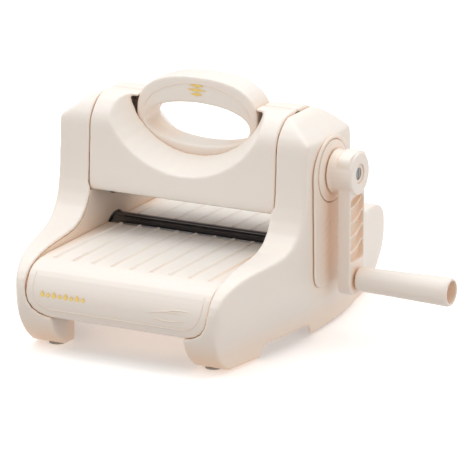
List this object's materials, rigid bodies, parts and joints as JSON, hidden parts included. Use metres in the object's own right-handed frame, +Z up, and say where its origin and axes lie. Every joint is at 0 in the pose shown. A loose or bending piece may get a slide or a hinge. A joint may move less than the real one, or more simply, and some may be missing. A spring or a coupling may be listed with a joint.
{
  "type": "die cutting machine",
  "caption": "Tabletop manual die cutting machine with ribbed feed trays, geared steel rollers, a carrying handle and a side crank.",
  "frame": {"origin": "on the floor, under the middle of the whole machine's box, crank and grip included", "axes": "+X towards the crank grip, +Y along the feed towards the rear, +Z up"},
  "size_m": [0.3194, 0.29, 0.193],
  "materials": {
    "white_plastic": "satin",
    "inner_plastic": "matte",
    "steel": "brushed",
    "bush_brass": "satin",
    "foot_rubber": "matte",
    "black_steel": "satin",
    "chrome": "polished"
  },
  "bodies": {
    "body": {"left_side_shell": "white_plastic", "right_side_shell": "white_plastic", "front_cover": "white_plastic", "rear_cover": "white_plastic", "carry_handle": "white_plastic", "front_tray": "white_plastic", "rear_tray": "white_plastic", "right_side_panel": "inner_plastic", "left_side_panel": "inner_plastic", "right_frame_plate": "steel", "left_frame_plate": "steel", "front_low_rod": "steel", "rear_low_rod": "steel", "front_high_rod": "steel", "rear_high_rod": "steel", "idler_stud": "steel", "idler_clip": "black_steel", "lower_right_bush": "bush_brass", "lower_left_bush": "bush_brass", "upper_right_bush": "bush_brass", "upper_left_bush": "bush_brass", "crank_inner_bush": "bush_brass", "crank_boss": "white_plastic", "right_side_band": "white_plastic", "left_side_band": "white_plastic", "base_plate": "inner_plastic", "base_screw_1": "black_steel", "base_screw_2": "black_steel", "base_screw_3": "black_steel", "base_screw_4": "black_steel", "front_left_foot": "foot_rubber", "front_right_foot": "foot_rubber", "rear_left_foot": "foot_rubber", "rear_right_foot": "foot_rubber"},
    "crank": {"crank_arm": "white_plastic", "crank_shaft": "steel", "crank_pinion": "steel", "crank_screw": "black_steel", "grip_pin": "steel", "grip_screw": "chrome"},
    "grip": {"grip_sleeve": "white_plastic"},
    "idler": {"compound_gear": "steel"},
    "lower_roller_set": {"lower_roller": "steel", "lower_roller_shaft": "steel", "lower_drive_gear": "steel", "lower_timing_gear": "steel"},
    "upper_roller_set": {"upper_roller": "steel", "upper_roller_shaft": "steel", "upper_timing_gear": "steel"}
  },
  "joints": [
    {"name": "crank_spin", "type": "hinge", "parent": "body", "child": "crank", "pos_m": [0.0652, 0, 0.13], "axis": [1, 0, 0], "continuous": true},
    {"name": "grip_spin", "type": "hinge", "parent": "crank", "child": "grip", "pos_m": [0.1202, 0, 0.0475], "axis": [1, 0, 0], "continuous": true},
    {"name": "idler_spin", "type": "hinge", "parent": "body", "child": "idler", "pos_m": [0.0402, 0.00675, 0.09668], "axis": [1, 0, 0], "continuous": true},
    {"name": "lower_roller_spin", "type": "hinge", "parent": "body", "child": "lower_roller_set", "pos_m": [-0.0498, 0, 0.05725], "axis": [1, 0, 0], "continuous": true},
    {"name": "upper_roller_spin", "type": "hinge", "parent": "body", "child": "upper_roller_set", "pos_m": [-0.0498, 0, 0.10525], "axis": [1, 0, 0], "continuous": true}
  ],
  "couplings": [
    {"joint": "idler_spin", "follows": "crank_spin", "ratio": -0.41667},
    {"joint": "lower_roller_spin", "follows": "crank_spin", "ratio": 0.17857},
    {"joint": "upper_roller_spin", "follows": "crank_spin", "ratio": -0.17857}
  ]
}
